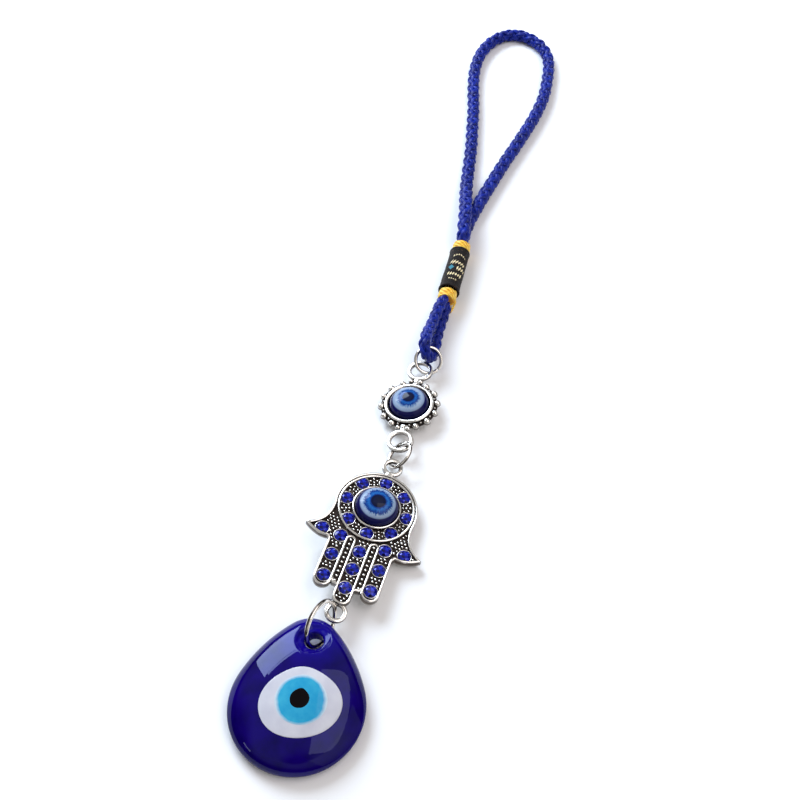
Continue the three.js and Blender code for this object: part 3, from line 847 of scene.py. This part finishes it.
def pellet_places(outline):
    """Small cast dots on the hand's floor, wherever there is room for one."""
    spots = [(sign * SLOT_X, SLOT_TOP + 0.1 - 1.16 * k, 0.37) for sign in (1, -1) for k in range(10)]
    for i in range(8):
        middle = pi / 2 + TAU * (i + 0.5) / 8
        for turned, radius, size in BETWEEN_STONES:
            spots.append((radius * cos(middle + turned), radius * sin(middle + turned), size))
    room = inset(outline, 0.72)
    pitch = 0.86
    for row in range(60):
        for column in range(60):
            x = -14 + pitch * (column + 0.5 * (row % 2)) + random.uniform(-0.07, 0.07)
            y = -25 + pitch * 0.866 * row + random.uniform(-0.07, 0.07)
            size = random.uniform(0.27, 0.35)
            far = math.hypot(x, y)
            if far < 8.7 + size or not within((x, y), room):
                continue
            if any(math.hypot(x - a, y - b) < 1.5 + size for a, b in STONE_SPOTS.values()):
                continue
            if y < SLOT_TOP + SLOT_HALF + 0.5 and abs(abs(x) - SLOT_X) < SLOT_HALF + 0.3 + size:
                continue
            spots.append((x, y, size))
    return spots


def hand_pieces(silver, recess, eye, stone):
    outline = hand_outline()
    shape = Shape()
    loops = [(0.22, BACK), (0.06, BACK + 0.08), (0.0, BACK + 0.25), (0.0, -0.2), (0.04, -0.04), (0.12, 0.04),
             (0.4, 0.04), (0.48, -0.04), (0.52, -0.2), (0.52, FLOOR)]
    rows = [[(x, y, z) for x, y in inset(outline, amount)] for amount, z in loops]
    shape.grid(rows)
    filled(shape, inset(outline, 0.52), FLOOR, 1)
    filled(shape, inset(outline, 0.22), BACK, 0, flip=True)
    ridge(shape, arc((0, 0), 8.36, 0, 360, 120), 0.3, FLOOR, 0.14)
    lathe(shape, [(5.5, FLOOR), (5.48, 0.1), (5.4, 0.28), (5.2, 0.36), (5.02, 0.28), (4.92, 0.1),
                  (4.88, FLOOR - 0.2)], 96)
    for sign in (1, -1):
        ridge(shape, slot_path(sign), 0.27, FLOOR, 0.08, closed=False)
    for x, y in STONE_SPOTS.values():
        ridge(shape, arc((x, y), 1.55, 0, 360, 28), 0.09, FLOOR, -0.16)
    for x, y, size in pellet_places(outline):
        ball(shape, (x, y, FLOOR + 0.08), size, squash=1.15, rows=5, count=9)
    eyelet(shape, (0, 12.3), 1.45, 2.4, -1.3, 0.95)
    eyelet(shape, (0, -26.7), 1.5, 2.4, -1.1, 0.9)
    neck(shape, 0, 10.4, 8.6, 1.25, -1.2, 1.0)
    neck(shape, 0, -24.2, -25.0, 1.0, -1.1, 0.95)
    matrix = pose(**HAND_POSE)
    shape.make("hand_cast", [silver, recess], matrix, "hand", ["hand_frame"])
    dome = Shape()
    cabochon(dome, 4.85, -0.45, 0.35, 2.85)
    dome.make("hand_cabochon", [eye], matrix, "hand", ["hand_eye"])
    mesh = stone_mesh(stone)
    for number, (name, (x, y)) in enumerate(STONE_SPOTS.items()):
        where = matrix @ Matrix.Translation(Vector((x, y, 0)) * MM) @ turn(37 * number % 45, "Z")
        place_mesh(name.replace("stone", "gem"), mesh, where, "hand", [name])


def stone_mesh(material):
    """A round faceted stone: table, star, kite and girdle facets over a closed back."""
    radius, table_z, mid_z, girdle_z, foot_z = STONE_RADIUS, 0.22, 0.02, -0.25, FLOOR - 0.3

    def corner(r, step, z):
        return r * cos(TAU * step / 16), r * sin(TAU * step / 16), z

    table = [corner(0.8, 2 * i, table_z) for i in range(8)]
    mid = [corner(1.16, 2 * i + 1, mid_z) for i in range(8)]
    girdle = [corner(radius, i, girdle_z) for i in range(16)]
    low = [corner(radius * 0.97, i, foot_z) for i in range(16)]
    verts = table + mid + girdle + low + [(0, 0, table_z), (0, 0, foot_z)]
    faces = []
    for i in range(8):
        j, before = (i + 1) % 8, (i - 1) % 8
        g, after, last = (16 + (2 * i + k) % 16 for k in range(3))
        faces += [(i, j, 48), (i, 8 + i, j), (i, 8 + before, g, 8 + i), (8 + i, g, after), (8 + i, after, last)]
    for i in range(16):
        j = (i + 1) % 16
        faces += [(16 + i, 32 + i, 32 + j, 16 + j), (32 + i, 49, 32 + j)]
    mesh = bpy.data.meshes.new("gem")
    mesh.from_pydata([tuple(c * MM for c in v) for v in verts], [], faces)
    mesh.materials.append(material)
    tone = mesh.attributes.new("facet", "FLOAT", "FACE")
    tone.data.foreach_set("value", [random.uniform(0.1, 1.0) for _ in faces])
    mesh.uv_layers.new(name="UVMap")
    mesh.update()
    return mesh


# ---------------------------------------------------------------- glass drop

DROP = dict(radius=13.7, tip=6.4, offset=12.2, flank=32.0, top=6.5, dome=25.5, stretch=1.25, centre=2.0)
HOLE_X, HOLE_Y, HOLE_RADIUS, HOLE_SIDES = 1.0, 13.0, 2.0, 64
HOLE_RINGS = (2.0, 2.03, 2.12, 2.26, 2.44, 2.7, 2.95, 3.2, 3.45, 3.7, 3.95, 4.25, 4.6, 5.0)  # vertices round it
HOLE_WALL = [(2.0, 2.0), (1.95, 0.9), (1.92, 0.4), (1.92, 0.0)]  # radius and height, going down
EDGE_UP, EDGE_DOWN, EDGE_MID = 2.6, 1.1, 1.5


def drop_outline(count):
    radius, tip, offset, flank = DROP["radius"], DROP["tip"], DROP["offset"], DROP["flank"]
    a, b = flank - radius, flank - tip
    y = (a * a - b * b + offset * offset) / (2 * offset)
    x = math.sqrt(a * a - y * y)
    low, high = math.atan2(-y, x), math.atan2(offset - y, x)
    pieces = [((0, 0), radius, pi - low, TAU + low), ((-x, y), flank, low, high),
              ((0, offset), tip, high, pi - high), ((x, y), flank, pi - high, pi - low)]
    points = []
    for (cx, cy), r, start, end in pieces:
        n = max(8, int(400 * abs(end - start) * r / 100))
        for t in np.linspace(start, end, n, endpoint=False):
            points.append((cx + r * cos(t), cy + r * sin(t), 0.0))
    loop = np.array(points + [points[0]])
    even = evenly(loop, 90.0 / count)[0][:-1]
    return even[:, :2]


def nearest_edge(points, outline):
    return np.sqrt(((points[:, None, :] - outline[None]) ** 2).sum(2)).min(1)


def drop_top(xy, depth):
    """Height of the glass face at points that lie depth inside the outline."""
    x, y = xy[:, 0], xy[:, 1]
    inner = DROP["dome"] ** 2 - x ** 2 - ((y - DROP["centre"]) / DROP["stretch"]) ** 2
    crown = DROP["top"] - DROP["dome"] + np.sqrt(np.maximum(inner, 1.0))
    t = np.clip(depth / EDGE_UP, 0, 1)
    height = EDGE_MID + (crown - EDGE_MID) * np.sqrt(np.maximum(1 - (1 - t) ** 2.2, 0))
    far, way = np.hypot(x - HOLE_X, y - HOLE_Y), np.arctan2(y - HOLE_Y, x - HOLE_X)
    reach = np.clip((far - HOLE_RADIUS) / 1.9, 0, 1)
    bowl = 0.95 * (1 - reach ** 2 * (3 - 2 * reach))
    swirl = 0.2 * np.exp(-((far - 3.0 - 0.25 * np.sin(2 * way)) / 0.36) ** 2)
    swirl += 0.1 * np.exp(-((far - 2.45 - 0.15 * np.cos(way - 0.8)) / 0.2) ** 2)
    lip = np.clip((far - HOLE_RADIUS) / 0.5, 0, 1)
    return height - bowl - swirl - 0.55 * (1 - np.sqrt(np.maximum(1 - (1 - lip) ** 2, 0)))


def signed(points, face):
    a, b, c = (points[i] for i in face[:3])
    return (b[0] - a[0]) * (c[1] - a[1]) - (b[1] - a[1]) * (c[0] - a[0])


def pierced_sheet(points, outer, first, outline, hole):
    """Triangles over the points, inside the outline and outside the hole, facing up.
    The first outer points go round the outline; the hole's own start at first.
    """
    edges = [(k, (k + 1) % outer) for k in range(outer)]
    edges += [(first + k, first + (k + 1) % HOLE_SIDES) for k in range(HOLE_SIDES)]
    found = delaunay_2d_cdt([Vector(p) for p in points], edges, [], 0, 1e-6)
    where = np.array([v[:] for v in found[0]])
    faces = []
    for face in found[2]:
        x, y = where[list(face)].mean(0)
        if math.hypot(x - HOLE_X, y - HOLE_Y) >= hole * 0.985 and within((x, y), outline):
            faces.append(face if signed(where, face) > 0 else face[::-1])
    return where, faces, [o[0] for o in found[3]]


def glass_body(material):
    outline = drop_outline(200)
    count = len(outline)
    rows, depths = [], []
    for k in range(12):
        depth = EDGE_UP * (1 - cos(pi / 2 * k / 12)) * 0.98
        rows.append(inset(outline, depth))
        depths.append(np.full(count, depth))
    pitch = 0.62
    fill = np.array([(-15 + pitch * (j + 0.5 * (i % 2)), -15 + pitch * 0.866 * i)
                     for i in range(80) for j in range(80)])
    near = nearest_edge(fill, outline)
    far = np.hypot(fill[:, 0] - HOLE_X, fill[:, 1] - HOLE_Y)
    inside = np.array([within(p, outline) for p in fill])
    keep = inside & (near > EDGE_UP + 0.25) & (far > 5.2)
    hole_at = (HOLE_X, HOLE_Y)
    rim = np.array([circle(r, HOLE_SIDES, 0.0, hole_at) for r in HOLE_RINGS]).reshape(-1, 3)[:, :2]
    lip, rim_near = rim[:HOLE_SIDES], nearest_edge(rim, outline)
    rim_keep = rim_near > EDGE_UP + 0.1
    rim_keep[:HOLE_SIDES] = True
    points = np.concatenate(rows + [rim[rim_keep], fill[keep]])
    depth = np.concatenate(depths + [rim_near[rim_keep], near[keep]])
    where, faces, source = pierced_sheet(points, count, 12 * count, outline, HOLE_RADIUS)
    shape = Shape()
    shape.add(np.column_stack([where, drop_top(where, depth[source])]), faces)
    side = [(0.0, EDGE_MID)]
    for k in range(1, 7):
        angle = pi / 2 * k / 6
        side.append((EDGE_DOWN * (1 - cos(angle)), EDGE_MID * (1 - sin(angle))))
    shape.grid([[(x, y, z) for x, y in inset(outline, amount)] for amount, z in reversed(side)])
    wall = [np.column_stack([lip, drop_top(lip, nearest_edge(lip, outline))])]
    wall += [circle(radius, HOLE_SIDES, z, hole_at) for radius, z in HOLE_WALL]
    shape.grid(wall)
    base = inset(outline, EDGE_DOWN)
    under = np.concatenate([base, np.array(wall[-1])[:, :2]])
    flat, faces, _ = pierced_sheet(under, count, count, base, HOLE_WALL[-1][0])
    shape.add([(x, y, 0.0) for x, y in flat], [face[::-1] for face in faces])
    return shape.make("cobalt_drop", [material], pose(**GLASS_POSE), "glass", ["glass_body"])


def eye_layer(name, node, centre, half, yaw, lift, wobble, material):
    """One layer of the fused eye, flush with the glass, its rim turned down into it."""
    rows, count = [], 96
    stations = [(t, 0) for t in (0.0, 0.12, 0.25, 0.4, 0.55, 0.7, 0.82, 0.92, 0.97)]
    for t, drop in stations + [(0.99, 0.25), (1.0, 1.0), (0.99, 12.0)]:
        row = []
        for k in range(count):
            angle = TAU * k / count
            waves = sin(2 * angle + 0.4) + 0.6 * sin(3 * angle + 1.9) + 0.3 * sin(5 * angle)
            uneven = 1 + wobble * waves
            point = wobble * 5.5 * max(0, cos(angle - 1.5)) ** 10
            x, y = half[0] * t * uneven * cos(angle), half[1] * t * (uneven + point) * sin(angle)
            c, s = cos(radians(yaw)), sin(radians(yaw))
            row.append((centre[0] + c * x - s * y, centre[1] + s * x + c * y))
        flat = np.array(row)
        height = drop_top(flat, np.full(count, 9.0)) + lift * (1 - drop)
        rows.append([(x, y, z) for (x, y), z in zip(row, height)])
    shape = Shape()
    shape.grid(rows[::-1])
    return shape.make(name, [material], pose(**GLASS_POSE), "glass", [node])


# ---------------------------------------------------------------- build the charm

# the second cord look is painted shade, used for the core between the strands
cord_looks = [cord_look("cord_blue", (3, 12, 74), (7, 30, 136), (22, 54, 178)),
              cord_look("cord_painted_shade", (1, 2, 16), (2, 5, 30), (5, 9, 48))]
gold_thread = thread_look()
# the last two numbers set where the painted flank shade falls and how far the painted crevice shade reaches
wire_bright = silver_look("wire_bright", (238, 233, 226), 0.1, (0.16, 0.66), 0.0013)
cast_silver = silver_look("cast_silver", (240, 236, 230), 0.17, (0.02, 0.55), 0.0012)
blackened = recess_look()
rhinestone = stone_look()
small_eye = cabochon_look("small_cabochon", 1.35, 2.35, 3.75, 4.7)
large_eye = cabochon_look("large_cabochon", 1.6, 2.95, 3.95, 4.85)
cobalt = cobalt_look()
white_glass = glass_look("white_glass", (190, 190, 202), (206, 206, 214)).material
blue_glass = iris_look(5.0, (1.25, -0.2))
black_glass = glass_look("black_glass", (4, 0, 2), (10, 4, 8)).material

loop, loop_path = braid("braided_loop", LOOP_ROUTE, LOOP_SCALE, ["cord_loop", "cord_core"], cord_looks)
fold, fold_path = braid("braided_fold", FOLD_ROUTE, FOLD_SCALE, ["cord_fold"], cord_looks)
whipping("whipping_lower", WRAP_LOW, ["wrap_lower"], gold_thread, tail=True)
whipping("whipping_upper", WRAP_HIGH, ["wrap_upper"], gold_thread)
sleeve_piece(brocade_look())
for ring_name, ring_spec in RINGS.items():
    jump_ring(ring_name, ring_spec, wire_bright)
connector_pieces(cast_silver, blackened, small_eye)
hand_pieces(cast_silver, blackened, large_eye, rhinestone)
glass_body(cobalt)
eye_layer("eye_white", "glass_white", (1.1, -0.7), (8.1, 6.7), 9, 0.03, 0.012, white_glass)
eye_layer("eye_iris", "glass_iris", (1.25, -0.2), (5.15, 4.85), 0, 0.045, 0.006, blue_glass)
eye_layer("eye_pupil", "glass_pupil", (0.97, -0.05), (1.9, 1.9), 0, 0.06, 0.02, black_glass)

# ---------------------------------------------------------------- floor, light and camera


def floor():
    mesh = bpy.data.meshes.new("floor")
    half, z = 3.0, -0.00005
    mesh.from_pydata([(-half, -half, z), (half, -half, z), (half, half, z), (-half, half, z)], [], [(0, 1, 2, 3)])
    look = Look("floor_paper", Roughness=0.7, Specular_IOR_Level=0.2)
    grain = look.noise(look.coords(), 60.0, 2.0)
    look.link("Base Color", look.ramp(grain, [(0.3, (0.9, 0.9, 0.905, 1.0)), (0.7, (0.92, 0.92, 0.925, 1.0))]))
    mesh.materials.append(look.material)
    linked("floor", mesh)


def panel(name, direction, distance, size, power, colour=(1.0, 1.0, 1.0)):
    """A soft rectangle of light aimed at the frame's origin."""
    light = bpy.data.lights.new(name, "AREA")
    light.shape = "RECTANGLE"
    light.size, light.size_y = size
    light.energy = power
    light.color = colour
    lamp = linked(name, light)
    lamp.location = Vector(direction).normalized() * distance
    lamp.rotation_euler = (-lamp.location).to_track_quat("-Z", "Y").to_euler()


DARK_CARDS = [  # direction, half angles in degrees where each starts and ends, and the light left behind it
    ((0.15, -0.6, 0.78), 9, 20, 0.08),
    ((-0.1, 0.85, 0.5), 14, 30, 0.85),
    ((0.9, 0.3, 0.55), 10, 24, 0.15),
    ((-0.95, -0.25, 0.4), 12, 26, 0.15),
]


SKY = [(0.0, 0.04), (0.2, 0.06), (0.38, 0.8), (0.62, 1.15), (0.8, 1.05), (1.0, 0.9)]  # height and brightness
SKY_STRENGTH = 0.47


def surroundings():
    """A pale, slightly warm studio round the object, with dark cards that the metal picks up."""
    world = bpy.data.worlds.new("studio")
    world.use_nodes = True
    sky = Nodes(world.node_tree)
    where = sky.coords("Generated")
    light = sky.ramp(sky.parts(where)["Z"], [(at, (level, level * 0.985, level * 0.965, 1.0)) for at, level in SKY])
    for direction, narrow, wide, left in DARK_CARDS:
        aim = Vector(direction).normalized()
        facing = sky.node("VectorMath", {0: where, 1: aim}, operation="DOT_PRODUCT").outputs["Value"]
        shade = sky.span(facing, cos(radians(wide)), cos(radians(narrow)), 1.0, left)
        light = sky.node("VectorMath", {0: light, "Scale": shade}, operation="SCALE").outputs[0]
    back = sky.tree.nodes["Background"]
    sky.feed(back.inputs["Color"], light)
    back.inputs["Strength"].default_value = SKY_STRENGTH
    bpy.context.scene.world = world


CAMERA_AT, CAMERA_HEADING, CAMERA_DIP, CAMERA_LENS = (37.6, -121.5, 206.0), 13.5, 51.6, 48.69


def camera():
    data = bpy.data.cameras.new("camera")
    data.sensor_width = 36.0
    data.lens = CAMERA_LENS
    data.clip_start = 0.01
    eye = linked("camera", data)
    eye.location = (Vector(CAMERA_AT) + CENTRE) * MM
    heading, dip = radians(CAMERA_HEADING), radians(CAMERA_DIP)
    ahead = Vector((-sin(heading) * cos(dip), cos(heading) * cos(dip), -sin(dip)))
    eye.rotation_euler = ahead.to_track_quat("-Z", "Y").to_euler()
    bpy.context.scene.camera = eye


floor()
surroundings()
panel("key", (-0.57, 0.6, 0.58), 0.75, (0.5, 0.34), 6.9, (0.74, 0.86, 1.0))
panel("line", (-0.46, 0.5, 0.78), 0.75, (0.42, 0.02), 0.3, (0.74, 0.86, 1.0))
panel("side", (0.46, 0.08, 0.88), 0.9, (0.95, 0.5), 3.0, (1.0, 0.94, 0.95))
panel("fill", (0.9, -0.3, 0.5), 1.0, (1.2, 0.8), 1.4, (1.0, 0.93, 0.86))
panel("rim", (-0.78, -0.6, 0.26), 0.8, (0.16, 0.05), 0.1)
camera()
bpy.context.scene.view_settings.view_transform = "Standard"
